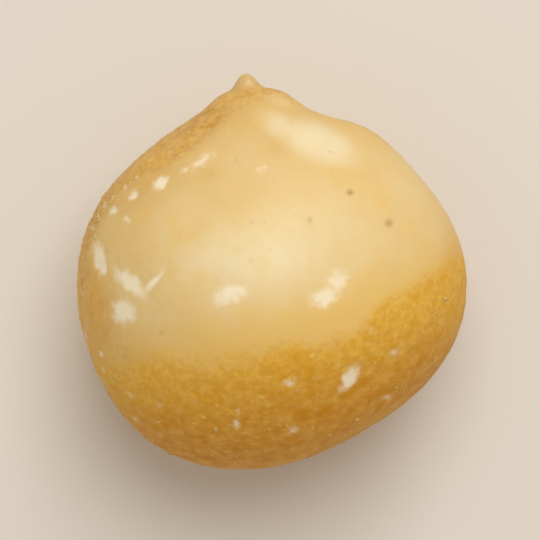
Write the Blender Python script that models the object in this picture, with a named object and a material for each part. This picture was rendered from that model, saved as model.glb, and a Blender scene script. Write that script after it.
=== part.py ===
"""A whole macadamia kernel out of its shell, lying on its small flat spot.

Metres, +Z up. The beak points along +Y and is raised a little. The origin is on the surface that
the kernel lies on, under the middle of its outline. The kernel is one solid: a sphere whose pole is
the beak is drawn out to the kernel's form, laid down, and cut level where it rests.
"""

from math import acos, atan2, cos, exp, pi, radians, sin
from typing import NamedTuple

import bmesh
import bpy
from mathutils import Matrix, Vector

# Half widths of the plain body, before its swells: across, through its thickness, and along its axis.
HALF_WIDTH = 0.00868
HALF_THICKNESS = 0.00835
HALF_LENGTH = 0.00856

# The beak, a small round-nosed point at the crown, and the low cone that carries it.
BEAK_HEIGHT = 0.00066
BEAK_SPREAD = radians(3.4)
CONE_HEIGHT = 0.00056
CONE_SPREAD = radians(10)

# The hairline seam of the two seed leaves, a plane through the axis turned from the body's width.
# It bends up over the left side of the crown.
SEAM_DEPTH = 0.00012
SEAM_HALF_WIDTH = 0.00040
SEAM_TURN = radians(9.5)
SEAM_FADE = radians(20)
SEAM_BEND = 0.0033
SEAM_BEND_CENTRE = (radians(28), radians(205))
SEAM_BEND_SPREAD = radians(18)

# How the kernel lies: its beak above level, and the depth cut away under it for the flat spot.
BEAK_RISE = radians(12)
REST_CUT = 0.00045

# The sphere's rings are drawn towards the beak, where the form is finest.
SEGMENTS = 60
RINGS = 46
RING_CROWDING = 0.72

KERNEL_COLOUR = (0.80, 0.58, 0.27, 1.0)
KERNEL_ROUGHNESS = 0.5


class Swell(NamedTuple):
    """A soft hump, or a hollow where the height is negative, centred on a direction from the middle."""

    from_beak: float
    around_axis: float
    height: float
    spread: float


# Around the axis, 0 is the kernel's right side, -90 is its upper face and 180 its left side.
SWELLS = {
    "right_shoulder": Swell(radians(99), radians(-4), 0.00045, radians(27)),
    "left_heel": Swell(radians(134), radians(193), 0.00042, radians(25)),
    "left_cheek": Swell(radians(88), radians(176), 0.00006, radians(25)),
    "left_crown_flat": Swell(radians(36), radians(160), -0.00042, radians(21)),
    "right_base_flat": Swell(radians(155), radians(-14), -0.00066, radians(27)),
    "right_crown_flat": Swell(radians(58), radians(8), -0.00024, radians(15)),
    "beak_root": Swell(radians(8), radians(186), 0.00024, radians(5)),
    "collar": Swell(radians(11), radians(8), 0.00028, radians(6)),
    "facet_rim": Swell(radians(30), radians(-54), 0.00012, radians(9)),
    "facet": Swell(radians(24), radians(14), -0.00054, radians(9.5)),
    "facet_under": Swell(radians(31), radians(54), -0.00048, radians(15)),
    "front_hollow": Swell(radians(70), radians(-62), -0.00014, radians(17)),
    "front_swell": Swell(radians(86), radians(-100), 0.00020, radians(30)),
    "base_dimple": Swell(radians(178), radians(0), -0.00022, radians(11)),
    "under_flat": Swell(radians(84), radians(92), -0.00026, radians(30)),
}


def direction_of(from_beak, around_axis):
    """The unit vector at that angle from the beak and that angle around the axis."""
    return Vector(
        (
            sin(from_beak) * cos(around_axis),
            sin(from_beak) * sin(around_axis),
            cos(from_beak),
        )
    )


def falloff(angle, spread, power=2):
    """1 at an angle of 0, dying away smoothly over the spread. A higher power gives a flatter top."""
    return exp(-((angle / spread) ** power))


def body_radius(toward):
    """The plain ellipsoid's distance from its middle to its surface."""
    scaled = Vector(
        (
            toward.x / HALF_WIDTH,
            toward.y / HALF_THICKNESS,
            toward.z / HALF_LENGTH,
        )
    )
    return 1 / scaled.length


def seam_depth(toward, radius, from_beak):
    """How far the seam's groove sinks the surface there. It dies out towards the beak."""
    across_seam = Vector((-sin(SEAM_TURN), cos(SEAM_TURN), 0))
    bent = falloff(toward.angle(direction_of(*SEAM_BEND_CENTRE)), SEAM_BEND_SPREAD)
    off_seam = radius * toward.dot(across_seam) + SEAM_BEND * bent
    depth = SEAM_DEPTH * (1 - falloff(from_beak, SEAM_FADE))
    return depth * falloff(off_seam, SEAM_HALF_WIDTH)


def kernel_radius(toward):
    """The distance from the kernel's middle to its surface, in a direction from the middle."""
    from_beak = acos(max(-1.0, min(1.0, toward.z)))
    radius = body_radius(toward)
    radius += BEAK_HEIGHT * falloff(from_beak, BEAK_SPREAD, 3.5)
    radius += CONE_HEIGHT * falloff(from_beak, CONE_SPREAD)
    for swell in SWELLS.values():
        centre = direction_of(swell.from_beak, swell.around_axis)
        radius += swell.height * falloff(toward.angle(centre), swell.spread)
    return radius - seam_depth(toward, radius, from_beak)


def crowded(from_beak):
    """A ring's angle from the beak once the rings are drawn towards it."""
    return from_beak - RING_CROWDING * sin(from_beak)


def form_kernel(mesh):
    """Draws the sphere's points out to the kernel's surface. The beak is at its upper pole."""
    for vertex in mesh.verts:
        from_beak = acos(max(-1.0, min(1.0, vertex.co.normalized().z)))
        around_axis = atan2(vertex.co.y, vertex.co.x) + SEAM_TURN
        toward = direction_of(crowded(from_beak), around_axis)
        vertex.co = toward * kernel_radius(toward)


def lay_down(mesh):
    """Turns the beak from straight up to +Y, a little above level."""
    bmesh.ops.transform(
        mesh, matrix=Matrix.Rotation(BEAK_RISE - pi / 2, 4, "X"), verts=mesh.verts
    )


def extent(mesh, axis):
    """The lowest and the highest place of the mesh along an axis."""
    places = [vertex.co[axis] for vertex in mesh.verts]
    return min(places), max(places)


def cut_rest_spot(mesh):
    """Cuts the underside level, closes it with one flat face and stands that face on the origin's plane."""
    lowest, _ = extent(mesh, 2)
    cut = bmesh.ops.bisect_plane(
        mesh,
        geom=mesh.verts[:] + mesh.edges[:] + mesh.faces[:],
        plane_co=(0, 0, lowest + REST_CUT),
        plane_no=(0, 0, 1),
        clear_inner=True,
    )
    rim = [item for item in cut["geom_cut"] if isinstance(item, bmesh.types.BMEdge)]
    for corner in {vertex for edge in rim for vertex in edge.verts}:
        corner.co.z = lowest + REST_CUT
    bmesh.ops.edgeloop_fill(mesh, edges=rim)
    for edge in rim:
        edge.smooth = False
    middle = [sum(extent(mesh, axis)) / 2 for axis in (0, 1)]
    to_origin = Vector((-middle[0], -middle[1], -lowest - REST_CUT))
    bmesh.ops.translate(mesh, vec=to_origin, verts=mesh.verts)


def kernel_material():
    """The kernel's warm cream colour and satin finish."""
    material = bpy.data.materials.new("kernel")
    material.use_nodes = True
    shader = material.node_tree.nodes["Principled BSDF"]
    shader.inputs["Base Color"].default_value = KERNEL_COLOUR
    shader.inputs["Roughness"].default_value = KERNEL_ROUGHNESS
    shader.inputs["Metallic"].default_value = 0
    return material


def make_kernel():
    """The kernel as one closed solid, resting on its flat spot."""
    mesh = bmesh.new()
    bmesh.ops.create_uvsphere(mesh, u_segments=SEGMENTS, v_segments=RINGS, radius=1)
    form_kernel(mesh)
    lay_down(mesh)
    cut_rest_spot(mesh)
    bmesh.ops.triangulate(mesh, faces=mesh.faces)
    bmesh.ops.recalc_face_normals(mesh, faces=mesh.faces)
    for face in mesh.faces:
        face.smooth = True
    data = bpy.data.meshes.new("kernel")
    mesh.to_mesh(data)
    mesh.free()
    data.materials.append(kernel_material())
    return bpy.data.objects.new("kernel", data)


def main():
    for leftover in list(bpy.data.objects):
        bpy.data.objects.remove(leftover)
    collection = bpy.data.collections.new("macadamia_kernel")
    bpy.context.scene.collection.children.link(collection)
    collection.objects.link(make_kernel())


main()
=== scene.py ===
"""The look of a whole macadamia kernel out of its shell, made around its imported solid.

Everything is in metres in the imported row's frame: +Z up, and the beak towards +Y. The fine surface
starts as a cube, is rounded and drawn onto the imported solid, and is then given its seam, grain,
scuffs and pores. Crumbs of nut flesh cling to it as a second piece.
"""

import logging
import random
from dataclasses import dataclass, field
from enum import Enum
from functools import cached_property
from math import cos, inf, pi, radians, sin
from typing import Iterable

import bpy
import numpy as np
from mathutils import Matrix, Vector, noise
from mathutils.bvhtree import BVHTree


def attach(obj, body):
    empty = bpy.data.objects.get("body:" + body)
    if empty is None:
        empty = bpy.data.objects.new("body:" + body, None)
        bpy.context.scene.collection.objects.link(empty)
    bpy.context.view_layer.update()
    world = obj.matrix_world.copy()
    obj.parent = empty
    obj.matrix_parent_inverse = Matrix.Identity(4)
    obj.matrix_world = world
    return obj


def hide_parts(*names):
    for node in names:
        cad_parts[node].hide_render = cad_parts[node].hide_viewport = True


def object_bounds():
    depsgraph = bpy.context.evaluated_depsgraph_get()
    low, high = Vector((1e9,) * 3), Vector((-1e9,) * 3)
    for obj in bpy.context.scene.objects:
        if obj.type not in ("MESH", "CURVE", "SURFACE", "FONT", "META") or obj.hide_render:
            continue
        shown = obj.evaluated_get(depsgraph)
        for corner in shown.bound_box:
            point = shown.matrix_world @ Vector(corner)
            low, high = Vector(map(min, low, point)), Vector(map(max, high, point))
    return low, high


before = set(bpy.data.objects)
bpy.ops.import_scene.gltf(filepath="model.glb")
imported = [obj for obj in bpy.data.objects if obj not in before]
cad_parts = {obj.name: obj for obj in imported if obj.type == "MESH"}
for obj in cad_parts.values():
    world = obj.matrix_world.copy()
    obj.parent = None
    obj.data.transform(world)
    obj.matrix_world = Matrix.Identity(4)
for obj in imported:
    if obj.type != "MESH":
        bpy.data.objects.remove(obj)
CAD_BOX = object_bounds()

log = logging.getLogger("macadamia_kernel")

MM = 0.001

Piece = bpy.types.Object
Socket = bpy.types.NodeSocket
Colour = tuple[float, float, float]
Source = Socket | float | Colour

# Two numbers, such as where a soft ramp starts and where it ends.
Span = tuple[float, float]


class Node(Enum):
    """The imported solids, by name."""

    KERNEL = "kernel"


class Group(Enum):
    """The shader node groups that more than one finish uses."""

    GRAIN = "fine_grain"
    MOTTLE = "soft_mottle"


class Measure(Enum):
    """The numbers stored on a piece's points for its finish.

    The tone is 1 at the pale end and -1 at the base. The seam offset is in millimetres.
    """

    TONE = "tone"
    BASE = "base"
    SEAM_OFFSET = "seam_offset"
    SCUFF = "scuff"
    PORE = "pore"
    # pale: paler flesh, and the painted highlights on the cream
    PALE = "pale"
    TAN = "tan"
    PALENESS = "paleness"


class Zone(Enum):
    """The parts of the skin that its relief is limited to."""

    ALL_OVER = "all_over"
    GRAINY = "grainy"
    HUSKED = "husked"
    SEAM_GROOVE = "seam_groove"
    SEAM_LIP = "seam_lip"
    SCUFFED = "scuffed"
    PITTED = "pitted"


class Pattern(Enum):
    """What a push in the relief follows."""

    EVEN = ""
    CLOUDS = "CLOUDS"
    CELLS = "VORONOI"


# --------------------------------------------------------------------------------------------
# Working at the bench: selecting, applying, and reading a mesh
# --------------------------------------------------------------------------------------------


def select_only(piece: Piece) -> None:
    """Makes the piece the one selected and active object.

    Args:
        piece: the object to work on next.
    """
    bpy.ops.object.select_all(action="DESELECT")
    piece.select_set(True)
    bpy.context.view_layer.objects.active = piece


def apply_modifier(piece: Piece, kind: str, **settings: object) -> None:
    """Adds one modifier to the piece and applies it at once.

    Args:
        piece: the object to change.
        kind: the modifier's type, such as "DISPLACE".
        **settings: the modifier's properties and their values.
    """
    select_only(piece)
    modifier = piece.modifiers.new(kind.lower(), kind)
    for name, value in settings.items():
        setattr(modifier, name, value)
    bpy.ops.object.modifier_apply(modifier=modifier.name)


def places(mesh: bpy.types.Mesh) -> np.ndarray:
    """The mesh's points, one row each.

    Args:
        mesh: the mesh to read.

    Returns:
        An array of x, y and z in metres.
    """
    flat = np.empty(len(mesh.vertices) * 3, dtype=np.float32)
    mesh.vertices.foreach_get("co", flat)
    return flat.reshape(-1, 3).astype(np.float64)


def smooth_step(low: float, high: float, value: np.ndarray) -> np.ndarray:
    """0 below low, 1 above high, and a soft ramp between them.

    Args:
        low: where the ramp starts.
        high: where the ramp ends; it may be below low, and the ramp then falls.
        value: the numbers to ramp.

    Returns:
        The ramped numbers.
    """
    share = np.clip((value - low) / (high - low), 0.0, 1.0)
    return share * share * (3.0 - 2.0 * share)


def bumpy(points: np.ndarray, size: float, shift: float = 0.0) -> np.ndarray:
    """Smooth noise at each point.

    Args:
        points: the places, one row each, in metres.
        size: the size of the noise's lumps, in metres.
        shift: moves the noise, so that two calls differ.

    Returns:
        One number for each point, from about -1 to 1.
    """
    return np.array([noise.noise(Vector(point)) for point in points / size + shift])


@dataclass(frozen=True)
class Ripple:
    """Smooth unevenness in a measure: its height, the size of its lumps, and its shift."""

    height: float
    size: float
    shift: float

    def at(self, points: np.ndarray) -> np.ndarray:
        """The unevenness at each point."""
        return self.height * bumpy(points, self.size, self.shift)


# --------------------------------------------------------------------------------------------
# How the kernel lies, and the places on its skin
# --------------------------------------------------------------------------------------------


@dataclass(frozen=True)
class Lie:
    """Where the kernel's own directions point as it lies at rest."""

    middle: Vector = field(default_factory=lambda: Vector((-0.00019, -0.00060, 0.00795)))
    radius: float = 8.6 * MM
    beak_rise: float = radians(12)
    seam_turn: float = radians(9.5)
    seam_bend: float = 3.3 * MM
    seam_bend_from_beak: float = radians(28)
    seam_bend_around: float = radians(205)
    seam_bend_spread: float = radians(18)
    tone_lean: float = radians(8.6)
    tone_rise: float = radians(11)

    @property
    def beak(self) -> Vector:
        """The direction of the beak from the middle."""
        return Vector((0, cos(self.beak_rise), sin(self.beak_rise)))

    @property
    def under(self) -> Vector:
        """The direction straight off the beak's line, on the side that faces down."""
        return Vector((0, sin(self.beak_rise), -cos(self.beak_rise)))

    @property
    def flank(self) -> Vector:
        """The direction straight off the seam's plane, towards the flank that faces down."""
        return Vector((-sin(self.seam_turn), 0, 0)) + cos(self.seam_turn) * self.under

    @property
    def pale_end(self) -> Vector:
        """The direction of the middle of the pale, smooth half."""
        level = cos(self.tone_rise)
        return Vector(
            (-sin(self.tone_lean) * level, cos(self.tone_lean) * level, sin(self.tone_rise))
        )

    def toward(self, from_beak: float, around: float) -> Vector:
        """A direction from the middle.

        Args:
            from_beak: its angle from the beak.
            around: its angle around the beak: 0 is right, -90 degrees is up and 180 is left.

        Returns:
            The unit vector.
        """
        level = Vector((cos(around), 0, 0)) + sin(around) * self.under
        return sin(from_beak) * level + cos(from_beak) * self.beak

    def seam_offset(self, from_middle: np.ndarray) -> np.ndarray:
        """How far each point is off the seam, in metres, counted up on the flank beyond it.

        Args:
            from_middle: the points, from the middle, one row each.

        Returns:
            The signed distances.
        """
        centre = np.array(self.toward(self.seam_bend_from_beak, self.seam_bend_around))
        aside = from_middle @ centre / np.linalg.norm(from_middle, axis=1)
        angle = np.arccos(np.clip(aside, -1, 1))
        bend = self.seam_bend * np.exp(-((angle / self.seam_bend_spread) ** 2))
        return from_middle @ np.array(self.flank) + bend


LIE = Lie()

# A mark ends where the skin has curved away from it by the first share of its size, taken as at
# least a millimetre, and it runs down a steep side no further than the second.
MARK_CURVE = 0.4
MARK_RUN = 1.6


@dataclass(frozen=True)
class Mark:
    """A small long mark on the upper side, given in plan.

    right and ahead are its middle's x and y in millimetres, length and width are in millimetres,
    and turn is how far its long way is turned from +X. A crisper mark has a sharper edge.
    """

    right: float
    ahead: float
    length: float
    width: float
    turn: float = 0.0
    strength: float = 1.0
    crispness: float = 1.25

    def cover(self, points: np.ndarray, centre: Vector) -> np.ndarray:
        """How much of the mark lies on each point, from 0 to 1.

        Args:
            points: the places on the skin, one row each, in metres.
            centre: the mark's middle on the skin.

        Returns:
            One number for each point.
        """
        size = max(self.length, self.width) * MM
        out = (centre - LIE.middle).normalized()
        offset = points - np.array(centre)
        right, ahead = offset[:, 0], offset[:, 1]
        run = (right * cos(self.turn) + ahead * sin(self.turn)) / (0.5 * self.length * MM)
        side = (ahead * cos(self.turn) - right * sin(self.turn)) / (0.5 * self.width * MM)
        depth = offset @ np.array(out) / (MARK_CURVE * max(MM, size))
        away = np.linalg.norm(offset, axis=1) / (MARK_RUN * size)
        reach = run**2 + side**2 + depth**2 + away**4
        return self.strength * np.exp(-(reach**self.crispness))


# --------------------------------------------------------------------------------------------
# The kernel's body
# --------------------------------------------------------------------------------------------


@dataclass(frozen=True)
class Push:
    """One step of the relief: a zone moved along its normals, evenly or by a pattern.

    height is how far out the skin moves where the zone is full. size is the size of the pattern's
    lumps, and octaves is how many layers a cloud pattern has.
    """

    zone: Zone
    height: float
    pattern: Pattern = Pattern.EVEN
    size: float = MM
    octaves: int = 2


@dataclass(frozen=True)
class EdgeSag:
    """A place where the amber base's edge lies lower. middle and spread are x in millimetres."""

    middle: float
    spread: float
    depth: float


@dataclass
class KernelBody:
    """The fine surface of the kernel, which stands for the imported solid."""

    cube_cuts: tuple[int, int] = (15, 7)
    start_radius: float = 10.5 * MM
    guide_merge: float = 0.001 * MM
    guide_angles: Span = (radians(60), radians(80))
    guide_levels: int = 2
    easing: float = 0.5
    easing_rounds: int = 2
    flat_below: float = 0.03 * MM

    tone_ripples: tuple[Ripple, ...] = (Ripple(0.045, 2.2 * MM, 3.0), Ripple(0.02, 0.8 * MM, 9.0))
    seam_ripple: Ripple = Ripple(0.22 * MM, 2.2 * MM, 5.0)
    groove_width: float = 0.24 * MM
    groove_cover: float = 0.6
    groove_breaks: Ripple = Ripple(0.9, 0.9 * MM, 41.0)
    lip_offset: float = 0.38 * MM
    lip_width: float = 0.288 * MM
    lip_cover: float = 0.5
    lip_breaks: Ripple = Ripple(1.2, 0.7 * MM, 21.0)

    # Where the zones' soft edges start and end. The flank's are in millimetres off the seam, the
    # beak's are cosines of the angle from it, and the grain's are tones. The base's edge has a tone
    # and a width on the left and on the right, and turns from one to the other between two x's.
    flank_near: Span = (-1.3, 0.6)
    flank_far: Span = (5.0, 2.0)
    beak_edge: Span = (0.93, 0.985)
    grain_edge: Span = (-0.06, -0.30)
    edge_tones: Span = (-0.105, -0.085)
    edge_widths: Span = (0.22, 0.12)
    edge_turns: Span = (-3.0 * MM, 3.0 * MM)
    edge_sags: tuple[EdgeSag, ...] = (EdgeSag(-1.0, 4.5, 0.055), EdgeSag(2.65, 1.9, 0.085))

    tan_grain: float = 0.6
    least_grain: float = 0.05
    beak_calms_swell: float = 0.5
    beak_calms_grain: float = 0.6
    least_weight: float = 0.004

    scuff_raggedness: float = 0.14 * MM
    scuff_rag_size: float = 0.42 * MM
    scuff_rag_shifts: tuple[float, float, float] = (31.0, 57.0, 83.0)
    pore_seed: int = 11
    pore_count: int = 12
    pore_right: Span = (-8.4, 8.4)
    pore_ahead: Span = (-8.6, 7.6)
    pore_reach: float = 8.2
    pore_sizes: Span = (0.10, 0.20)
    pore_strengths: Span = (0.10, 0.32)

    pattern_middle: float = 0.62
    relief: tuple[Push, ...] = (
        Push(Zone.ALL_OVER, -0.03 * MM),
        Push(Zone.ALL_OVER, 0.06 * MM, Pattern.CLOUDS, 4.5 * MM, 1),
        Push(Zone.HUSKED, 0.10 * MM, Pattern.CLOUDS, 0.60 * MM, 3),
        Push(Zone.GRAINY, 0.05 * MM, Pattern.CLOUDS, 1.2 * MM, 3),
        Push(Zone.GRAINY, -0.045 * MM, Pattern.CELLS, 0.42 * MM),
        Push(Zone.GRAINY, 0.06 * MM, Pattern.CLOUDS, 0.24 * MM),
        Push(Zone.SEAM_GROOVE, -0.06 * MM),
        Push(Zone.SEAM_LIP, 0.035 * MM),
        Push(Zone.SCUFFED, -0.04 * MM),
        Push(Zone.PITTED, -0.06 * MM),
    )

    scuffs: tuple[Mark, ...] = (
        Mark(-1.87, -0.90, 1.75, 0.98, radians(14), 0.78),
        Mark(2.30, -1.44, 1.50, 0.95, radians(14), 0.78),
        Mark(2.95, -0.78, 1.10, 1.05, radians(60), 0.72),
        Mark(-7.62, 1.36, 0.60, 1.60, radians(6)),
        Mark(-7.50, 0.95, 0.50, 0.70, radians(10)),
        Mark(-6.30, 0.10, 1.95, 0.72, radians(-46)),
        Mark(-6.72, -1.14, 1.12, 1.20, radians(8)),
        Mark(-5.22, 0.02, 1.50, 0.34, radians(40), 0.8),
        Mark(-4.46, 4.42, 0.85, 0.52, radians(35)),
        Mark(-5.78, 4.00, 0.72, 0.40, radians(50), 0.9),
        Mark(-6.72, 3.42, 0.42, 0.50, radians(75), 0.8),
        Mark(-6.15, 2.92, 0.36, 0.46, radians(20), 0.65),
        Mark(-6.10, 4.42, 0.30, 0.34, 0.0, 0.6),
        Mark(-2.55, 5.22, 1.50, 0.62, radians(33), 0.6, 1.0),
        Mark(-1.30, 6.20, 0.80, 0.45, radians(40), 0.25, 1.0),
        Mark(0.10, 4.55, 0.65, 0.42, radians(20), 0.4),
        Mark(0.37, -5.02, 0.70, 0.45, radians(10), 0.65, 1.0),
        Mark(3.03, -5.20, 1.40, 0.62, radians(54), 0.95),
        Mark(-2.08, -6.15, 0.36, 0.40, 0.0, 0.4),
        Mark(-2.20, -6.75, 0.46, 0.50, 0.0, 0.6),
        Mark(0.35, -7.26, 0.50, 0.42, 0.0, 0.55),
        Mark(4.66, -6.27, 0.50, 0.40, radians(30), 0.5),
        Mark(-8.00, -2.95, 0.34, 0.44, 0.0, 0.7),
        Mark(0.02, 8.50, 0.55, 0.60, radians(80), 0.45, 1.0),
        Mark(5.15, -4.30, 0.62, 0.50, radians(20), 0.5),
        Mark(4.25, -3.15, 0.50, 0.55, 0.0, 0.4),
        Mark(1.20, -3.60, 0.50, 0.34, radians(15), 0.35),
        Mark(-6.84, -4.97, 0.50, 0.36, radians(-40), 0.45),
        Mark(-5.52, -5.59, 0.46, 0.36, radians(-30), 0.4),
        Mark(-8.68, -2.10, 0.30, 0.44, 0.0, 0.7),
        Mark(-8.00, -3.70, 0.34, 0.44, 0.0, 0.5),
        Mark(-6.75, -6.05, 0.30, 0.40, radians(-45), 0.5),
        Mark(-5.55, 4.83, 0.34, 0.30, radians(40), 0.5),
        Mark(-7.20, 3.75, 0.42, 0.36, radians(50), 0.55),
        Mark(-7.85, 2.75, 0.36, 0.36, radians(60), 0.5),
        Mark(-3.30, 4.86, 0.62, 0.46, radians(38), 0.5, 1.0),
    )
    # Paler cream patches: partly paler flesh and partly painted highlight, most of all the broad
    # patch in the middle and the streak on the shoulder.
    pale_and_highlight_patches: tuple[Mark, ...] = (
        Mark(0.10, 0.80, 8.2, 3.4, radians(4), 0.75, 1.0),
        Mark(2.72, 5.50, 3.9, 1.80, radians(-28), 0.9, 1.7),
        Mark(1.10, 6.40, 2.3, 1.30, radians(-38), 0.8, 1.2),
        Mark(1.35, 7.75, 2.0, 1.1, radians(-24), 0.65, 1.2),
        Mark(-4.20, 2.60, 4.0, 2.2, radians(40), 0.3, 1.0),
        Mark(-0.40, 5.30, 3.4, 2.6, radians(10), 0.28, 1.0),
    )
    # Tan grainy patches along the flank and at the limbs; at the limbs they also carry painted warm
    # reflected light.
    tan_patches: tuple[Mark, ...] = (
        Mark(-8.70, -0.90, 3.6, 7.6, radians(3), 1.0, 1.3),
        Mark(-7.00, -2.80, 3.4, 2.2, radians(-25), 0.45, 1.2),
        Mark(8.50, -1.00, 1.8, 5.0, 0.0, 0.55, 1.2),
        Mark(-5.35, 4.80, 4.8, 2.3, radians(38), 0.55, 1.2),
        Mark(-6.00, 0.80, 3.2, 5.4, radians(8), 0.26, 1.0),
        Mark(-2.26, 4.50, 1.1, 0.8, radians(10), 0.35, 1.0),
        Mark(0.67, 5.45, 1.7, 1.2, radians(-20), 0.35, 1.0),
    )
    pores: tuple[Mark, ...] = (
        Mark(3.93, 3.07, 0.30, 0.26, 0.0, 0.75),
        Mark(2.01, 2.04, 0.26, 0.22, 0.0, 0.4),
        Mark(5.52, 1.52, 0.36, 0.36, 0.0, 0.6),
        Mark(-0.60, 2.20, 0.18, 0.18, 0.0, 0.3),
        Mark(-5.10, -2.30, 0.20, 0.20, 0.0, 0.3),
    )

    def build(self) -> Piece:
        """Makes the kernel's skin and its surface marks.

        Returns:
            The finished kernel piece, with its finish on.
        """
        piece = self.rounded_cube()
        self.draw_onto_solid(piece)
        self.measure_skin(piece)
        for push in self.relief:
            self.raise_relief(piece, push)
        self.stand_level(piece)
        select_only(piece)
        bpy.ops.object.shade_smooth()
        piece.data.materials.append(KernelSkin().material())
        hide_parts(Node.KERNEL.value)
        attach(piece, "root")
        return piece

    def rounded_cube(self) -> Piece:
        """A cube cut fine and rounded to a ball, whose faces are all of nearly one size.

        Returns:
            The ball, larger than the kernel, around its middle.
        """
        bpy.ops.object.select_all(action="DESELECT")
        bpy.ops.mesh.primitive_cube_add(size=2 * self.start_radius, location=LIE.middle)
        piece = bpy.context.object
        piece.name = piece.data.name = "kernel_flesh"
        bpy.ops.object.mode_set(mode="EDIT")
        bpy.ops.mesh.select_all(action="SELECT")
        for cuts in self.cube_cuts:
            bpy.ops.mesh.subdivide(number_cuts=cuts)
        bpy.ops.object.mode_set(mode="OBJECT")
        self.even_out(piece)
        ball = {"cast_type": "SPHERE", "factor": 1.0, "radius": 0, "size": self.start_radius}
        apply_modifier(piece, "CAST", **ball)
        bpy.ops.object.transform_apply(location=True, rotation=True, scale=True)
        return piece

    def even_out(self, piece: Piece) -> None:
        """Spaces the cube's grid so that it stays even once it is rounded.

        Args:
            piece: the finely cut cube, with its middle at its own origin.
        """
        points = places(piece.data) / self.start_radius
        points = np.tan(points * pi / 4) * self.start_radius
        piece.data.vertices.foreach_set("co", points.astype(np.float32).ravel())

    def draw_onto_solid(self, piece: Piece) -> None:
        """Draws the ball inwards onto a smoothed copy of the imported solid.

        Args:
            piece: the ball around the kernel.
        """
        guide = self.smooth_guide()
        apply_modifier(
            piece,
            "SHRINKWRAP",
            target=guide,
            wrap_method="PROJECT",
            use_negative_direction=True,
            use_positive_direction=False,
        )
        apply_modifier(piece, "SMOOTH", factor=self.easing, iterations=self.easing_rounds)
        bpy.data.objects.remove(guide)

    def smooth_guide(self) -> Piece:
        """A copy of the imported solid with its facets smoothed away.

        Returns:
            The copy, to be removed after use.
        """
        select_only(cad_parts[Node.KERNEL.value])
        bpy.ops.object.duplicate()
        guide = bpy.context.object
        guide.name = "smooth_guide"
        across, aside = self.guide_angles
        bpy.ops.object.mode_set(mode="EDIT")
        bpy.ops.mesh.select_all(action="SELECT")
        bpy.ops.mesh.remove_doubles(threshold=self.guide_merge)
        bpy.ops.mesh.tris_convert_to_quads(face_threshold=across, shape_threshold=aside)
        bpy.ops.object.mode_set(mode="OBJECT")
        levels = self.guide_levels
        apply_modifier(guide, "SUBSURF", levels=levels, render_levels=levels)
        return guide

    def measure_skin(self, piece: Piece) -> None:
        """Writes the skin's zones and marks onto its points, for the relief and for the finish.

        Args:
            piece: the kernel, drawn onto its solid and still smooth.
        """
        points = places(piece.data)
        tree = BVHTree.FromObject(piece, bpy.context.evaluated_depsgraph_get())
        from_middle = points - np.array(LIE.middle)
        tone = from_middle @ np.array(LIE.pale_end) / LIE.radius
        tone += sum(ripple.at(points) for ripple in self.tone_ripples)
        seam = LIE.seam_offset(from_middle) + self.seam_ripple.at(points)
        measures = {
            Measure.TONE: tone,
            Measure.BASE: self.base_share(tone, points[:, 0]),
            Measure.SEAM_OFFSET: seam / MM,
            Measure.SCUFF: self.gather(self.scuffs, self.ragged(points), tree),
            Measure.PORE: self.gather(self.pores + self.scattered_pores(), points, tree),
            Measure.PALE: self.gather(self.pale_and_highlight_patches, points, tree),
            Measure.TAN: self.gather(self.tan_patches, points, tree),
        }
        for measure, values in measures.items():
            attribute = piece.data.attributes.new(measure.value, "FLOAT", "POINT")
            attribute.data.foreach_set("value", values.astype(np.float32))
        for zone, weights in self.zone_weights(points, measures).items():
            self.weigh(piece, zone, np.clip(weights, 0, 1))

    def zone_weights(
        self, points: np.ndarray, measures: dict[Measure, np.ndarray]
    ) -> dict[Zone, np.ndarray]:
        """How strongly each push of the relief acts on each point.

        Args:
            points: the skin's points.
            measures: what was measured on them.

        Returns:
            Each zone's weights, from 0 to 1.
        """
        from_middle = points - np.array(LIE.middle)
        beside_beak = from_middle @ np.array(LIE.beak) / np.linalg.norm(from_middle, axis=1)
        by_beak = smooth_step(*self.beak_edge, beside_beak)
        offset = measures[Measure.SEAM_OFFSET]
        flank = smooth_step(*self.flank_near, offset) * smooth_step(*self.flank_far, offset)
        groove = np.exp(-((offset * MM / self.groove_width) ** 2))
        groove *= np.clip(self.groove_cover + self.groove_breaks.at(points), 0, 1)
        lip = np.exp(-(((offset * MM + self.lip_offset) / self.lip_width) ** 2))
        lip *= np.clip(self.lip_cover + self.lip_breaks.at(points), 0, 1)
        rough = smooth_step(*self.grain_edge, measures[Measure.TONE])
        rough = np.maximum(rough, np.maximum(flank, self.tan_grain * measures[Measure.TAN]))
        return {
            Zone.ALL_OVER: 1 - self.beak_calms_swell * by_beak,
            Zone.GRAINY: rough * (1 - self.beak_calms_grain * by_beak) + self.least_grain,
            Zone.HUSKED: flank * (1 - by_beak),
            Zone.SEAM_GROOVE: groove * (1 - by_beak),
            Zone.SEAM_LIP: lip * (1 - by_beak),
            Zone.SCUFFED: measures[Measure.SCUFF],
            Zone.PITTED: measures[Measure.PORE],
        }

    def base_share(self, tone: np.ndarray, across: np.ndarray) -> np.ndarray:
        """How far each point has passed from the cream into the amber base.

        Args:
            tone: 1 at the pale end, -1 at the base.
            across: each point's x, in metres.

        Returns:
            0 on the cream, 1 on the amber, and a slope between, steeper on the right side.
        """
        right = smooth_step(*self.edge_turns, across)
        edge = np.interp(right, (0, 1), self.edge_tones)
        for sag in self.edge_sags:
            edge -= sag.depth * np.exp(-(((across / MM - sag.middle) / sag.spread) ** 2))
        return np.clip(0.5 - (tone - edge) / np.interp(right, (0, 1), self.edge_widths), 0, 1)

    def ragged(self, points: np.ndarray) -> np.ndarray:
        """The points pushed about a little, so that marks laid on them get torn edges.

        Args:
            points: the skin's points.

        Returns:
            The moved points.
        """
        push = [bumpy(points, self.scuff_rag_size, shift) for shift in self.scuff_rag_shifts]
        return points + self.scuff_raggedness * np.stack(push, axis=1)

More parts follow.
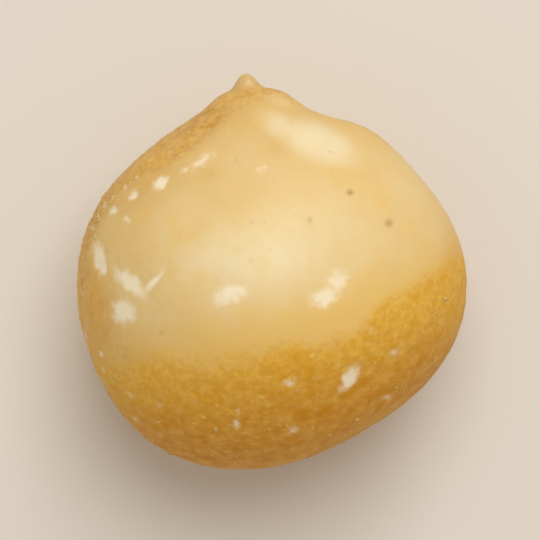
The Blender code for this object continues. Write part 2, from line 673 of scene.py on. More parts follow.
    def gather(self, marks: Iterable[Mark], points: np.ndarray, tree: BVHTree) -> np.ndarray:
        """Lays all the marks on the skin.

        Args:
            marks: the marks, whose middles are found from above.
            points: the skin's points.
            tree: the skin, to drop each mark onto.

        Returns:
            The strongest mark at each point, from 0 to 1.
        """
        cover = np.zeros(len(points))
        for mark in marks:
            level = Vector((mark.right * MM, mark.ahead * MM, LIE.middle.z))
            centre = tree.ray_cast(level + Vector((0, 0, 1)), Vector((0, 0, -1)))[0]
            if centre is None:
                centre = tree.find_nearest(level)[0]
            cover = np.maximum(cover, mark.cover(points, centre))
        return cover

    def scattered_pores(self) -> tuple[Mark, ...]:
        """Small pores scattered over the upper side.

        Returns:
            The pores, fainter and smaller than the named ones.
        """
        dice = random.Random(self.pore_seed)
        pores = []
        while len(pores) < self.pore_count:
            right, ahead = dice.uniform(*self.pore_right), dice.uniform(*self.pore_ahead)
            size = dice.uniform(*self.pore_sizes)
            strength = dice.uniform(*self.pore_strengths)
            if right**2 + ahead**2 < self.pore_reach**2:
                pores.append(Mark(right, ahead, size, size, strength=strength))
        return tuple(pores)

    def weigh(self, piece: Piece, zone: Zone, weights: np.ndarray) -> None:
        """Stores a weight for each point, for a modifier to read.

        Args:
            piece: the kernel.
            zone: the zone that the weights make up.
            weights: one weight for each point, from 0 to 1.
        """
        group = piece.vertex_groups.new(name=zone.value)
        for index in np.nonzero(weights > self.least_weight)[0]:
            group.add([int(index)], float(weights[index]), "REPLACE")

    def raise_relief(self, piece: Piece, push: Push) -> None:
        """Pushes one zone of the skin out, or in where the height is negative.

        Args:
            piece: the kernel, with its zones measured.
            push: what to move, how far, and by which pattern.
        """
        settings = {"strength": push.height, "mid_level": 0.0, "vertex_group": push.zone.value}
        if push.pattern is not Pattern.EVEN:
            texture = bpy.data.textures.new(push.zone.value, push.pattern.value)
            texture.noise_scale = push.size
            if push.pattern is Pattern.CLOUDS:
                texture.noise_depth = push.octaves
            settings |= {"texture": texture, "texture_coords": "LOCAL"}
            settings["mid_level"] = self.pattern_middle
        apply_modifier(piece, "DISPLACE", **settings)

    def stand_level(self, piece: Piece) -> None:
        """Presses the points at the rest spot flat onto the floor's plane.

        Args:
            piece: the kernel with its relief.
        """
        select_only(piece)
        bpy.ops.object.mode_set(mode="EDIT")
        bpy.ops.mesh.select_all(action="DESELECT")
        bpy.ops.object.mode_set(mode="OBJECT")
        low = places(piece.data)[:, 2] < self.flat_below
        piece.data.vertices.foreach_set("select", low)
        bpy.ops.object.mode_set(mode="EDIT")
        bpy.ops.transform.resize(value=(1, 1, 0), center_override=(0, 0, 0))
        bpy.ops.object.mode_set(mode="OBJECT")


# --------------------------------------------------------------------------------------------
# Crumbs that cling to the kernel
# --------------------------------------------------------------------------------------------


def off_seam(toward: Vector) -> float:
    """How far the skin in a direction from the middle is off the seam, in millimetres."""
    return float(LIE.seam_offset(np.array([toward]) * LIE.radius)[0]) / MM


@dataclass(frozen=True)
class CrumbZone:
    """A part of the skin that crumbs cling to: a band along the seam, the base, or all of it.

    The sizes and the distances off the seam are in millimetres.
    """

    count: int
    sizes: Span
    thickness: float
    paleness: float
    band: Span = (-inf, inf)
    tone_below: float = inf

    def holds(self, toward: Vector) -> bool:
        """Whether the skin in a direction from the middle belongs to the zone."""
        low, high = self.band
        return low < off_seam(toward) < high and toward.dot(LIE.pale_end) < self.tone_below


@dataclass(frozen=True)
class CrumbSpot:
    """One crumb's place on the skin, the skin's normal there, and its size, thickness and shade."""

    place: Vector
    normal: Vector
    size: float
    thickness: float
    paleness: float


@dataclass
class SurfaceCrumbs:
    """Crumbs of nut flesh along the seam, on the flank beyond it and on the grainy base."""

    zones: tuple[CrumbZone, ...] = (
        CrumbZone(40, (0.08, 0.18), 0.24, 0.55, band=(-0.35, 0.25)),
        CrumbZone(110, (0.05, 0.11), 0.26, 0.28, band=(-0.80, 0.80)),
        CrumbZone(170, (0.05, 0.11), 0.24, 0.10, band=(0.3, 3.6)),
        CrumbZone(60, (0.05, 0.11), 0.22, 0.05, tone_below=-0.16),
        CrumbZone(10, (0.04, 0.07), 0.30, 0.95),
    )
    pattern_size: float = 1.5
    size_bias: float = 2.2
    paleness_spread: float = 0.2
    base_starts: float = -0.16
    base_paleness: float = 0.3
    bare_near_beak: float = 0.96
    bare_below: float = 2.2 * MM
    lumpiness: float = 0.84
    lumps: float = 1.4
    lump_shifts: Span = (0, 90)
    lengths: Span = (0.9, 1.6)
    widths: Span = (0.6, 1.0)
    seed: int = 7

    def build(self, kernel: Piece) -> Piece:
        """Makes the crumbs and sets them on the kernel.

        Args:
            kernel: the finished kernel piece, whose skin they cling to.

        Returns:
            All the crumbs, joined as one piece.
        """
        dice = random.Random(self.seed)
        tree = BVHTree.FromObject(kernel, bpy.context.evaluated_depsgraph_get())
        pattern = self.pattern_crumb()
        crumbs = [self.set_down(pattern, spot, dice) for spot in self.spots(tree, dice)]
        bpy.data.objects.remove(pattern)
        bpy.ops.object.select_all(action="DESELECT")
        for crumb in crumbs:
            crumb.select_set(True)
        bpy.context.view_layer.objects.active = crumbs[0]
        bpy.ops.object.join()
        piece = bpy.context.object
        piece.name = piece.data.name = "surface_crumbs"
        bpy.ops.object.shade_smooth()
        piece.data.materials.append(CrumbFlesh().material())
        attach(piece, "root")
        return piece

    def pattern_crumb(self) -> Piece:
        """One round crumb of about unit size, with a few dozen faces.

        Returns:
            The crumb that the others are copied from.
        """
        bpy.ops.object.select_all(action="DESELECT")
        bpy.ops.mesh.primitive_cube_add(size=self.pattern_size)
        bpy.ops.object.mode_set(mode="EDIT")
        bpy.ops.mesh.select_all(action="SELECT")
        bpy.ops.mesh.subdivide(number_cuts=1, smoothness=1.0)
        bpy.ops.object.mode_set(mode="OBJECT")
        return bpy.context.object

    def spots(self, tree: BVHTree, dice: random.Random) -> list[CrumbSpot]:
        """Finds where the crumbs lie.

        Args:
            tree: the kernel's skin.
            dice: the source of chance.

        Returns:
            One spot for each crumb.
        """
        found = []
        for zone in self.zones:
            wanted = len(found) + zone.count
            while len(found) < wanted:
                toward = Vector([dice.gauss(0, 1) for _ in range(3)]).normalized()
                if toward.dot(LIE.beak) < self.bare_near_beak and zone.holds(toward):
                    spot = self.spot(zone, tree, toward, dice)
                    if self.has_room(spot):
                        found.append(spot)
        return found

    def spot(
        self, zone: CrumbZone, tree: BVHTree, toward: Vector, dice: random.Random
    ) -> CrumbSpot:
        """Chooses one crumb's size and shade, and finds its place on the skin.

        Args:
            zone: the zone it belongs to.
            tree: the kernel's skin.
            toward: its direction from the kernel's middle.
            dice: the source of chance.

        Returns:
            The crumb's spot.
        """
        place, normal, _, _ = tree.ray_cast(LIE.middle, toward)
        smallest, largest = zone.sizes
        size = smallest + (largest - smallest) * dice.random() ** self.size_bias
        paleness = min(1.0, max(0.0, dice.gauss(zone.paleness, self.paleness_spread)))
        if toward.dot(LIE.pale_end) < self.base_starts:
            paleness *= self.base_paleness
        return CrumbSpot(place, normal, size * MM, zone.thickness, paleness)

    def has_room(self, spot: CrumbSpot) -> bool:
        """Whether a crumb there stays off the floor and the scuffs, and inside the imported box.

        Args:
            spot: where the crumb would lie.

        Returns:
            True if it may lie there.
        """
        low, high = CAD_BOX
        inside = all(
            low[axis] + spot.size < spot.place[axis] < high[axis] - spot.size for axis in range(3)
        )
        level = spot.place.xy / MM
        off_scuffs = all(
            (level - Vector((mark.right, mark.ahead))).length > 0.5 * mark.length
            for mark in KernelBody.scuffs
        )
        return inside and off_scuffs and spot.place.z > self.bare_below

    def set_down(self, pattern: Piece, spot: CrumbSpot, dice: random.Random) -> Piece:
        """Copies the pattern crumb, makes it lumpy and presses it into the skin.

        Args:
            pattern: the unit crumb.
            spot: where it lies and how it looks.
            dice: the source of chance.

        Returns:
            The crumb with its place in its mesh.
        """
        crumb = bpy.data.objects.new("crumb", pattern.data.copy())
        bpy.context.scene.collection.objects.link(crumb)
        shift = Vector([dice.uniform(*self.lump_shifts) for _ in range(3)])
        for vertex in crumb.data.vertices:
            vertex.co *= 1 + self.lumpiness * noise.noise(vertex.co * self.lumps + shift)
        length, width = dice.uniform(*self.lengths), dice.uniform(*self.widths)
        stretch = Matrix.Diagonal((length, width, spot.thickness, 1))
        spin = Matrix.Rotation(dice.uniform(0, 2 * pi), 4, "Z")
        stand = spot.normal.to_track_quat("Z", "Y").to_matrix().to_4x4()
        seat = Matrix.Translation(spot.place)
        crumb.data.transform(seat @ stand @ spin @ stretch @ Matrix.Scale(spot.size, 4))
        shade = crumb.data.attributes.new(Measure.PALENESS.value, "FLOAT", "POINT")
        shade.data.foreach_set("value", [spot.paleness] * len(crumb.data.vertices))
        return crumb


# --------------------------------------------------------------------------------------------
# Finishes
# --------------------------------------------------------------------------------------------


@dataclass(frozen=True)
class Cloud:
    """Noise in a finish: its lumps for each millimetre, octaves, roughness and height."""

    per_mm: float
    octaves: float = 3.0
    rough: float = 0.55
    height: float = 1.0


@dataclass(frozen=True)
class Patches:
    """Soft uneven patches in a finish: their size in millimetres and how sharply they differ."""

    size: float
    contrast: float


@dataclass(frozen=True)
class Grain:
    """Fine relief in a finish: its size in millimetres and how sharp its granules are."""

    size: float
    sharpness: float


class Bench:
    """Adds nodes to one node tree and links them."""

    def __init__(self, tree: bpy.types.NodeTree) -> None:
        """Starts with the tree to work in."""
        self.tree = tree

    def add(self, kind: str, **settings: object) -> bpy.types.Node:
        """Adds one node.

        Args:
            kind: the node's type name, such as "ShaderNodeMath".
            **settings: the node's properties and their values.

        Returns:
            The new node.
        """
        node = self.tree.nodes.new(kind)
        for name, value in settings.items():
            setattr(node, name, value)
        return node

    def put(self, source: Source, target: Socket) -> None:
        """Links a socket to the target, or sets the target's own value.

        Args:
            source: an output socket, a number or a colour.
            target: the input socket.
        """
        if isinstance(source, Socket):
            self.tree.links.new(source, target)
        elif isinstance(source, tuple):
            target.default_value = (*source, 1.0)
        else:
            target.default_value = source

    def math(self, operation: str, *values: Source) -> Socket:
        """One Math node.

        Args:
            operation: such as "MAXIMUM".
            *values: its inputs, as sockets or numbers.

        Returns:
            Its output.
        """
        node = self.add("ShaderNodeMath", operation=operation)
        for slot, value in zip(node.inputs, values):
            self.put(value, slot)
        return node.outputs[0]

    def plus(self, first: Source, second: Source) -> Socket:
        """The sum of two numbers."""
        return self.math("ADD", first, second)

    def minus(self, first: Source, second: Source) -> Socket:
        """The first number less the second."""
        return self.math("SUBTRACT", first, second)

    def times(self, first: Source, second: Source) -> Socket:
        """The product of two numbers."""
        return self.math("MULTIPLY", first, second)

    def ramp(self, value: Source, span: Span, ends: Span = (0.0, 1.0)) -> Socket:
        """A soft ramp between two results.

        Args:
            value: the number to ramp.
            span: where the ramp starts and where it ends.
            ends: the results there.

        Returns:
            The ramped value.
        """
        node = self.add("ShaderNodeMapRange", interpolation_type="SMOOTHSTEP")
        names = ("Value", "From Min", "From Max", "To Min", "To Max")
        for name, number in zip(names, (value, *span, *ends)):
            self.put(number, node.inputs[name])
        return node.outputs[0]

    def mix(self, share: Source, first: Source, second: Source) -> Socket:
        """Mixes two colours.

        Args:
            share: how much of the second there is.
            first: a colour or socket.
            second: a colour or socket.

        Returns:
            The mixed colour.
        """
        node = self.add("ShaderNodeMix", data_type="RGBA")
        inputs = [slot for slot in node.inputs if slot.enabled]
        for slot, value in zip(inputs, (share, first, second)):
            self.put(value, slot)
        return next(slot for slot in node.outputs if slot.enabled)

    def noise(self, where: Socket, scale: Source, detail: float, rough: float) -> Socket:
        """Noise with lumps of about 1 / scale.

        Args:
            where: the place.
            scale: lumps per unit.
            detail: octaves.
            rough: how strong the finer octaves are.

        Returns:
            The noise, from 0 to 1.
        """
        node = self.add("ShaderNodeTexNoise")
        names = ("Vector", "Scale", "Detail", "Roughness")
        for name, value in zip(names, (where, scale, detail, rough)):
            self.put(value, node.inputs[name])
        return node.outputs[0]

    @cached_property
    def place(self) -> Socket:
        """The place on the object.

        Returns:
            The place, in millimetres.
        """
        mapping = self.add("ShaderNodeMapping", vector_type="POINT")
        mapping.inputs["Scale"].default_value = (1 / MM, 1 / MM, 1 / MM)
        self.put(self.add("ShaderNodeTexCoord").outputs["Object"], mapping.inputs["Vector"])
        return mapping.outputs[0]

    def measure(self, name: Measure) -> Socket:
        """A number stored on the mesh's points."""
        return self.add("ShaderNodeAttribute", attribute_name=name.value).outputs["Fac"]

    def cloud(self, cloud: Cloud) -> Socket:
        """Noise over the object, from 0 to 1."""
        return self.noise(self.place, cloud.per_mm, cloud.octaves, cloud.rough)

    def ragged(self, cloud: Cloud) -> Socket:
        """Noise over the object, around 0 and of the cloud's height, to break an edge with."""
        return self.times(self.minus(self.cloud(cloud), 0.5), cloud.height)

    def patches(self, patches: Patches) -> Socket:
        """Soft uneven patches over the object, as a mask from 0 to 1."""
        return self.group(Group.MOTTLE, Size=patches.size, Contrast=patches.contrast)

    def grain(self, grain: Grain) -> Socket:
        """Fine grain over the object, as a height."""
        return self.group(Group.GRAIN, Size=grain.size, Sharpness=grain.sharpness)

    def group(self, name: Group, **values: float) -> Socket:
        """Places a node group on the object.

        Args:
            name: which group.
            **values: its inputs beside the place.

        Returns:
            The group's one output.
        """
        node = self.add("ShaderNodeGroup", node_tree=NodeGroups.fetch(name))
        for key, value in {"Place": self.place, **values}.items():
            self.put(value, node.inputs[key])
        return node.outputs[0]

    def bump(self, height: Socket, strength: float, distance: float) -> Socket:
        """Relief that is too fine for the mesh.

        Args:
            height: the relief's height.
            strength: how strongly it shows.
            distance: how deep it is, in metres.

        Returns:
            The bumped normal.
        """
        node = self.add("ShaderNodeBump")
        names = ("Strength", "Distance", "Height")
        for name, value in zip(names, (strength, distance, height)):
            self.put(value, node.inputs[name])
        return node.outputs["Normal"]


class NodeGroups:
    """The shader node groups, each built once."""

    @staticmethod
    def fetch(name: Group) -> bpy.types.NodeTree:
        """The group of that name, built the first time.

        Args:
            name: which group.

        Returns:
            Its node tree.
        """
        if name.value in bpy.data.node_groups:
            return bpy.data.node_groups[name.value]
        makers = {Group.GRAIN: NodeGroups.grain, Group.MOTTLE: NodeGroups.mottle}
        return makers[name]()

    @staticmethod
    def start(
        name: Group, numbers: dict[str, float], output: str
    ) -> tuple[Bench, bpy.types.Node, bpy.types.Node]:
        """An empty group that takes a place and some numbers.

        Args:
            name: which group.
            numbers: each number's name and default.
            output: the name of the one number that it puts out.

        Returns:
            A bench on the group, its input node and its output node.
        """
        tree = bpy.data.node_groups.new(name.value, "ShaderNodeTree")
        number = "NodeSocketFloat"
        tree.interface.new_socket("Place", in_out="INPUT", socket_type="NodeSocketVector")
        for label, default in numbers.items():
            socket = tree.interface.new_socket(label, in_out="INPUT", socket_type=number)
            socket.default_value = default
        tree.interface.new_socket(output, in_out="OUTPUT", socket_type=number)
        bench = Bench(tree)
        return bench, bench.add("NodeGroupInput"), bench.add("NodeGroupOutput")

    @staticmethod
    def grain() -> bpy.types.NodeTree:
        """Fine grain of nut flesh: a height made of small granules over soft lumps.

        Returns:
            The group, with Place, Size and Sharpness in and Height out.
        """
        granules_per_lump = 1.15
        numbers = {"Size": 0.2, "Sharpness": 0.5}
        bench, inlet, outlet = NodeGroups.start(Group.GRAIN, numbers, "Height")
        place, sharpness = inlet.outputs["Place"], inlet.outputs["Sharpness"]
        per_mm = bench.math("DIVIDE", 1.0, inlet.outputs["Size"])
        lumps = bench.noise(place, per_mm, detail=4.0, rough=0.6)
        cells = bench.add("ShaderNodeTexVoronoi", feature="SMOOTH_F1")
        bench.put(place, cells.inputs["Vector"])
        bench.put(bench.times(per_mm, granules_per_lump), cells.inputs["Scale"])
        domes = bench.minus(1.0, cells.outputs["Distance"])
        sharp = bench.times(domes, sharpness)
        soft = bench.times(lumps, bench.minus(1.0, sharpness))
        bench.put(bench.plus(sharp, soft), outlet.inputs["Height"])
        return bench.tree

    @staticmethod
    def mottle() -> bpy.types.NodeTree:
        """Soft uneven patches, as a mask from 0 to 1.

        Returns:
            The group, with Place, Size and Contrast in and Mask out.
        """
        full_contrast, middle = 3.0, 0.5
        numbers = {"Size": 2.0, "Contrast": 1.0}
        bench, inlet, outlet = NodeGroups.start(Group.MOTTLE, numbers, "Mask")
        per_mm = bench.math("DIVIDE", 1.0, inlet.outputs["Size"])
        cloud = bench.noise(inlet.outputs["Place"], per_mm, detail=5.0, rough=0.58)
        stretch = bench.times(inlet.outputs["Contrast"], full_contrast)
        mask = bench.add("ShaderNodeMath", operation="ADD", use_clamp=True)
        bench.put(bench.times(bench.minus(cloud, middle), stretch), mask.inputs[0])
        bench.put(middle, mask.inputs[1])
        bench.put(mask.outputs[0], outlet.inputs["Mask"])
        return bench.tree


def blank_material(name: str) -> tuple[bpy.types.Material, bpy.types.Node]:
    """A new material, still plain.

    Args:
        name: the material's name.

    Returns:
        The material and its Principled shader.
    """
    material = bpy.data.materials.new(name)
    material.use_nodes = True
    return material, material.node_tree.nodes["Principled BSDF"]


@dataclass(frozen=True)
class SkinMasks:
    """What the skin's colour, roughness and relief share. All but the tone run from 0 to 1."""

    tone: Socket
    base: Socket
    flank: Socket
    scuff: Socket


@dataclass(frozen=True)
class KernelSkin:
    """The kernel's finish: waxy cream flesh that turns to grainy amber over the base, with painted
    highlights on the cream, painted shade on the crown and at the base's far end, and painted warm
    reflected light at the left edge.
    """

    cream: Colour = (0.790, 0.560, 0.220)
    # cream_pale_and_highlight: paler flesh, and the colour of the painted highlights
    cream_pale_and_highlight: Colour = (0.860, 0.735, 0.465)
    cream_gold: Colour = (0.825, 0.540, 0.165)
    amber: Colour = (0.810, 0.452, 0.042)
    # amber_deep_and_shade: the deep amber specks, and the painted shade at the base's far end
    amber_deep_and_shade: Colour = (0.600, 0.240, 0.004)
    amber_light: Colour = (0.840, 0.545, 0.130)
    flank_tan: Colour = (0.700, 0.412, 0.100)
    flank_brown: Colour = (0.560, 0.288, 0.052)
    limb_gold_and_reflection: Colour = (0.880, 0.500, 0.095)
    groove_brown: Colour = (0.430, 0.215, 0.040)
    # crown_gold_and_shade: the crown's golden tone, darkened as painted shade
    crown_gold_and_shade: Colour = (0.680, 0.435, 0.140)
    beak_tan: Colour = (0.665, 0.440, 0.185)
    scuff_white: Colour = (0.970, 0.860, 0.640)
    pore_brown: Colour = (0.360, 0.170, 0.035)

    # Where each zone's soft edge starts and ends. The flank's and the groove line's are in
    # millimetres off the seam, the next six are tones, and the rest are shares.
    flank_near: Span = (-1.9, 0.50)
    flank_far: Span = (2.0, 6.0)
    groove_line: Span = (0.24, 0.04)
    groove_fade: Span = (0.50, 0.20)
    crown_shade_edge: Span = (0.40, 0.95)
    beak_edge: Span = (0.99, 1.05)
    gold_edge: Span = (0.16, -0.10)
    deep_shade_edge: Span = (-0.12, -0.66)
    flank_end: Span = (1.07, 1.01)
    base_edge: Span = (0.02, 0.95)
    scuff_edge: Span = (0.10, 0.92)
    golden_edge: Span = (0.50, 0.72)
    bright_edge: Span = (0.57, 0.70)
    groove_gap_edge: Span = (0.35, 0.65)

    base_coarse: Cloud = Cloud(0.9, 4.0, height=0.9)
    base_fine: Cloud = Cloud(4.0, height=0.5)
    flank_rag: Cloud = Cloud(2.2, height=0.7)
    scuff_rag: Cloud = Cloud(3.4, 4.0, 0.65, height=0.8)
    groove_gaps: Cloud = Cloud(1.3)
    golden: Cloud = Cloud(0.42, 3.0, 0.5)
    bright: Cloud = Cloud(2.2, 5.0, 0.7)
    broad: Patches = Patches(3.2, 1.0)
    small: Patches = Patches(0.7, 1.2)
    specks: Patches = Patches(0.30, 1.7)
    blotches: Patches = Patches(1.0, 1.5)
    sheen: Patches = Patches(1.6, 1.0)

    # How much of each shows at its fullest.
    flank_left: float = 0.45
    tan_rag: float = 0.5
    groove_shares: Span = (0.1, 0.6)
    broad_share: float = 0.35
    crown_shade_share: float = 0.8
    golden_share: float = 0.55
    small_in_cream: float = 0.14
    small_in_amber: float = 0.45
    specks_in_amber: float = 0.35
    bright_in_amber: float = 0.75
    specks_in_flank: float = 0.9
    blotches_in_flank: float = 0.30
    bright_in_flank: float = 0.6
    limb_reflection_share: float = 0.55
    scuff_share: float = 0.9
    pore_share: float = 0.85

    satin: float = 0.43
    satin_spread: float = 0.10
    base_duller: float = 0.08
    scuff_duller: float = 0.18
    granules: Grain = Grain(0.16, 0.45)
    lumps: Grain = Grain(0.55, 0.1)
    granules_on_rough: float = 0.9
    granules_on_smooth: float = 0.12
    lump_height: float = 0.25
    relief_strength: float = 0.55
    relief_depth: float = 0.05 * MM

    def material(self) -> bpy.types.Material:
        """Builds the material.

        Returns:
            The finished material.
        """
        material, shader = blank_material("kernel_skin")
        bench = Bench(material.node_tree)
        masks = SkinMasks(
            tone=bench.measure(Measure.TONE),
            base=self.base_mask(bench),
            flank=self.flank_mask(bench),
            scuff=self.scuff_mask(bench),
        )
        bench.put(self.colour(bench, masks), shader.inputs["Base Color"])
        bench.put(self.roughness(bench, masks), shader.inputs["Roughness"])
        bench.put(self.normal(bench, masks), shader.inputs["Normal"])
        shader.inputs["IOR"].default_value = 1.42
        shader.inputs["Specular IOR Level"].default_value = 0.25
        shader.inputs["Subsurface Weight"].default_value = 0.15
        shader.inputs["Subsurface Radius"].default_value = (1.0, 0.55, 0.22)
        shader.inputs["Subsurface Scale"].default_value = 0.7 * MM
        return material

    def base_mask(self, bench: Bench) -> Socket:
        """The amber base, whose edge is soft and broken."""
        broken = bench.plus(bench.ragged(self.base_coarse), bench.ragged(self.base_fine))
        return bench.ramp(bench.plus(bench.measure(Measure.BASE), broken), self.base_edge)

    def flank_mask(self, bench: Bench) -> Socket:
        """The grainy strip beyond the seam, and the tan patches.

        Args:
            bench: the material's bench.

        Returns:
            A mask from 0 to 1.
        """
        broken = bench.ragged(self.flank_rag)
        offset = bench.plus(bench.measure(Measure.SEAM_OFFSET), broken)
        near = bench.ramp(offset, self.flank_near)
        far = bench.ramp(offset, self.flank_far, (1.0, self.flank_left))
        tan = bench.plus(bench.measure(Measure.TAN), bench.times(broken, self.tan_rag))
        return bench.math("MAXIMUM", bench.times(near, far), bench.ramp(tan, (0.0, 1.0)))

    def groove_mask(self, bench: Bench, tone: Socket) -> Socket:
        """The darker line in the seam's groove, broken, and gone towards the crown.

        Args:
            bench: the material's bench.
            tone: 1 at the pale end, -1 at the base.

        Returns:
            A mask from 0 to 1.
        """
        aside = bench.math("ABSOLUTE", bench.measure(Measure.SEAM_OFFSET))
        fade = bench.ramp(tone, self.groove_fade)
        line = bench.times(bench.ramp(aside, self.groove_line), fade)
        gaps = bench.ramp(bench.cloud(self.groove_gaps), self.groove_gap_edge, self.groove_shares)
        return bench.times(line, gaps)

    def scuff_mask(self, bench: Bench) -> Socket:
        """The scuffed white marks, with broken edges."""
        broken = bench.ragged(self.scuff_rag)
        return bench.ramp(bench.plus(bench.measure(Measure.SCUFF), broken), self.scuff_edge)

    def colour(self, bench: Bench, masks: SkinMasks) -> Socket:
        """The base colour, built up from the flesh outwards.

        Args:
            bench: the material's bench.
            masks: what the skin's parts share.

        Returns:
            The colour.
        """
        small, specks = bench.patches(self.small), bench.patches(self.specks)
        bright = bench.ramp(bench.cloud(self.bright), self.bright_edge)
        cream = self.cream_flesh(bench, masks.tone, small)
        flank = bench.times(masks.flank, bench.ramp(masks.tone, self.flank_end))
        colour = bench.mix(flank, cream, self.flank_flesh(bench, specks, bright))
        # Painted shade with a deeper amber: the amber darkens towards the base's far end, away from
        # the light.
        amber = bench.mix(bench.ramp(masks.tone, self.deep_shade_edge), self.amber, self.amber_deep_and_shade)
        amber = bench.mix(bench.times(small, self.small_in_amber), amber, self.amber_light)
        amber = bench.mix(bench.times(specks, self.specks_in_amber), amber, self.amber_deep_and_shade)
        amber = bench.mix(bench.times(bright, self.bright_in_amber), amber, self.amber_light)
        colour = bench.mix(masks.base, colour, amber)
        colour = bench.mix(self.groove_mask(bench, masks.tone), colour, self.groove_brown)
        colour = bench.mix(bench.times(masks.scuff, self.scuff_share), colour, self.scuff_white)
        pore = bench.times(bench.measure(Measure.PORE), self.pore_share)
        return bench.mix(pore, colour, self.pore_brown)

    def cream_flesh(self, bench: Bench, tone: Socket, small: Socket) -> Socket:
        """The smooth cream: paler in patches and under painted highlights, golden and darker with
        painted shade on the crown, and golden towards the base.

        Args:
            bench: the material's bench.
            tone: 1 at the pale end, -1 at the base.
            small: small soft patches.

        Returns:
            The colour.
        """
        pale = bench.measure(Measure.PALE)
        # The broad patches are paler flesh; the pale measure adds the painted highlights.
        uneven = bench.plus(bench.times(bench.patches(self.broad), self.broad_share), pale)
        cream = bench.mix(uneven, self.cream, self.cream_pale_and_highlight)
        # Painted shade with a golden tone: the crown towards the beak is darker, except under the
        # painted highlights.
        crown = bench.times(bench.ramp(tone, self.crown_shade_edge), bench.minus(1.0, pale))
        cream = bench.mix(bench.times(crown, self.crown_shade_share), cream, self.crown_gold_and_shade)
        cream = bench.mix(bench.ramp(tone, self.gold_edge), cream, self.cream_gold)
        golden = bench.ramp(bench.cloud(self.golden), self.golden_edge, (0.0, self.golden_share))
        cream = bench.mix(golden, cream, self.cream_gold)
        cream = bench.mix(bench.times(small, self.small_in_cream), cream, self.cream_gold)
        return bench.mix(bench.ramp(tone, self.beak_edge), cream, self.beak_tan)

    def flank_flesh(self, bench: Bench, specks: Socket, bright: Socket) -> Socket:
        """The tan, grainy flesh beyond the seam, more golden at the kernel's left edge: the flank's
        own tone with painted warm reflected light.

        Args:
            bench: the material's bench.
            specks: fine soft patches.
            bright: small bright places.

        Returns:
            The colour.
        """
        tan = bench.mix(
            bench.times(specks, self.specks_in_flank), self.flank_brown, self.flank_tan
        )
        blotches = bench.times(bench.patches(self.blotches), self.blotches_in_flank)
        tan = bench.mix(blotches, tan, self.cream)
        tan = bench.mix(bench.times(bright, self.bright_in_flank), tan, self.amber_light)
        # The limbs' own golden tone with painted warm reflected light.
        limb = bench.times(bench.measure(Measure.TAN), self.limb_reflection_share)
        return bench.mix(limb, tan, self.limb_gold_and_reflection)

    def roughness(self, bench: Bench, masks: SkinMasks) -> Socket:
        """Satin cream, a duller base and dry scuffs.

        Args:
            bench: the material's bench.
            masks: what the skin's parts share.

        Returns:
            The roughness.
        """
        satin = bench.plus(bench.times(bench.patches(self.sheen), self.satin_spread), self.satin)
        duller = bench.plus(satin, bench.times(masks.base, self.base_duller))
        return bench.plus(duller, bench.times(masks.scuff, self.scuff_duller))

    def normal(self, bench: Bench, masks: SkinMasks) -> Socket:
        """The fine relief that is too small for the mesh.

        Args:
            bench: the material's bench.
            masks: what the skin's parts share.

        Returns:
            The bumped normal.
        """
        rough = bench.math("MAXIMUM", masks.base, bench.math("MAXIMUM", masks.flank, masks.scuff))
        amount = bench.plus(bench.times(rough, self.granules_on_rough), self.granules_on_smooth)
        granules = bench.times(bench.grain(self.granules), amount)
        lumps = bench.times(bench.grain(self.lumps), self.lump_height)
        return bench.bump(bench.plus(granules, lumps), self.relief_strength, self.relief_depth)


@dataclass(frozen=True)
class CrumbFlesh:
    """The crumbs' finish: dry broken nut flesh."""

    pale: Colour = (0.850, 0.650, 0.340)
    tan: Colour = (0.780, 0.480, 0.110)
    patches: Patches = Patches(1.2, 1.6)
    patch_share: float = 0.3
    pale_edge: Span = (0.15, 1.1)
    granules: Grain = Grain(0.08, 0.5)
    relief_strength: float = 0.6
    relief_depth: float = 0.03 * MM
    roughness: float = 0.58
    roughness_spread: float = 0.12

    def material(self) -> bpy.types.Material:
        """Builds the material.

        Returns:
            The finished material.
        """
        material, shader = blank_material("crumb_flesh")
        bench = Bench(material.node_tree)
        patch = bench.patches(self.patches)
        paleness = bench.plus(
            bench.measure(Measure.PALENESS), bench.times(patch, self.patch_share)
        )
        colour = bench.mix(bench.ramp(paleness, self.pale_edge), self.tan, self.pale)
        rough = bench.plus(bench.times(patch, self.roughness_spread), self.roughness)
        grain = bench.grain(self.granules)
        bench.put(colour, shader.inputs["Base Color"])
        bench.put(rough, shader.inputs["Roughness"])
        normal = bench.bump(grain, self.relief_strength, self.relief_depth)
        bench.put(normal, shader.inputs["Normal"])
        shader.inputs["Subsurface Weight"].default_value = 0.2
        shader.inputs["Subsurface Radius"].default_value = (1.0, 0.6, 0.3)
        shader.inputs["Subsurface Scale"].default_value = 0.4 * MM
        return material


@dataclass(frozen=True)
class FloorFinish:
    """A plain pale matt floor."""

    colour: Colour = (0.77, 0.72, 0.65)
    roughness: float = 0.85

    def material(self) -> bpy.types.Material:
        """Builds the material.

        Returns:
            The finished material.
        """
        material, shader = blank_material("pale_floor")
        shader.inputs["Base Color"].default_value = (*self.colour, 1.0)
        shader.inputs["Roughness"].default_value = self.roughness
        return material


# --------------------------------------------------------------------------------------------
# The floor, the lights and the camera
# --------------------------------------------------------------------------------------------


@dataclass(frozen=True)
class Lamp:
    """One soft round light aimed at the kernel: where it hangs, its width, and its watts."""

    name: str
    place: tuple[float, float, float]
    size: float
    power: float


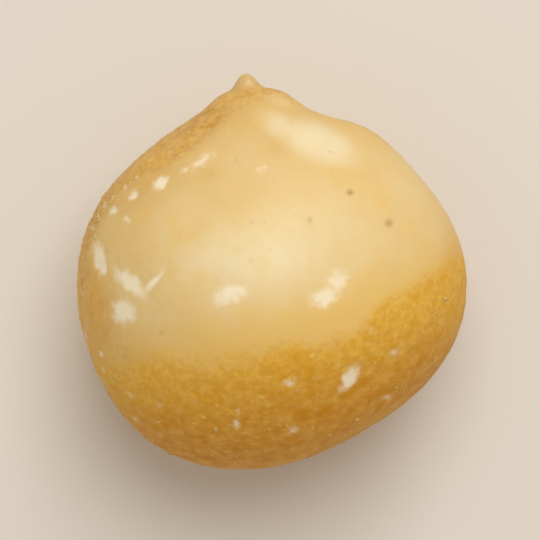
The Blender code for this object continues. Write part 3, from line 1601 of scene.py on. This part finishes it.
@dataclass
class Studio:
    """A pale floor, soft light from above and ahead, and a camera looking straight down."""

    floor_size: float = 3.0
    lamps: tuple[Lamp, ...] = (
        Lamp("key_light", (0.05, 0.12, 0.33), 0.22, 0.60),
        Lamp("window_light", (0.12, 0.32, 0.17), 0.16, 0.20),
    )
    sky_colour: Colour = (1.0, 0.93, 0.82)
    sky_strength: float = 0.50
    view_width: float = 24.5 * MM
    distance: float = 0.30
    nearest: float = 0.01
    roll: float = radians(-6)
    sensor_width: float = 36.0

    def build(self) -> None:
        """Sets out everything that isn't the object."""
        self.floor()
        for lamp in self.lamps:
            self.light(lamp)
        self.sky()
        self.camera()

    def floor(self) -> None:
        """Lays the floor."""
        bpy.ops.object.select_all(action="DESELECT")
        bpy.ops.mesh.primitive_plane_add(size=self.floor_size)
        floor = bpy.context.object
        floor.name = "floor"
        floor.data.materials.append(FloorFinish().material())

    def light(self, lamp: Lamp) -> None:
        """Hangs one lamp.

        Args:
            lamp: what to hang, and where.
        """
        data = bpy.data.lights.new(lamp.name, "AREA")
        data.shape = "DISK"
        data.size = lamp.size
        data.energy = lamp.power
        light = bpy.data.objects.new(lamp.name, data)
        bpy.context.scene.collection.objects.link(light)
        light.location = lamp.place
        aim = Vector(lamp.place) - LIE.middle
        light.rotation_euler = aim.to_track_quat("Z", "Y").to_euler()

    def sky(self) -> None:
        """Even light from all round."""
        world = bpy.data.worlds.new("soft_sky")
        world.use_nodes = True
        back = world.node_tree.nodes["Background"]
        back.inputs["Color"].default_value = (*self.sky_colour, 1.0)
        back.inputs["Strength"].default_value = self.sky_strength
        bpy.context.scene.world = world

    def camera(self) -> None:
        """Sets the camera straight above the kernel."""
        data = bpy.data.cameras.new("camera")
        data.sensor_width = self.sensor_width
        data.lens = self.sensor_width * self.distance / self.view_width
        data.clip_start = self.nearest
        camera = bpy.data.objects.new("camera", data)
        bpy.context.scene.collection.objects.link(camera)
        camera.location = (0.0, 0.0, LIE.middle.z + self.distance)
        camera.rotation_euler = (0.0, 0.0, self.roll)
        bpy.context.scene.camera = camera


def main() -> None:
    """Builds the kernel, its crumbs and the studio, and reports each piece."""
    logging.basicConfig(level=logging.INFO, format="%(name)s: %(message)s")
    bpy.context.scene.view_settings.view_transform = "Standard"
    kernel = KernelBody().build()
    log.info("%s: %d faces", kernel.name, len(kernel.data.polygons))
    crumbs = SurfaceCrumbs().build(kernel)
    log.info("%s: %d faces", crumbs.name, len(crumbs.data.polygons))
    Studio().build()
    log.info("studio: floor, lights and camera")


if __name__ == "__main__":
    main()
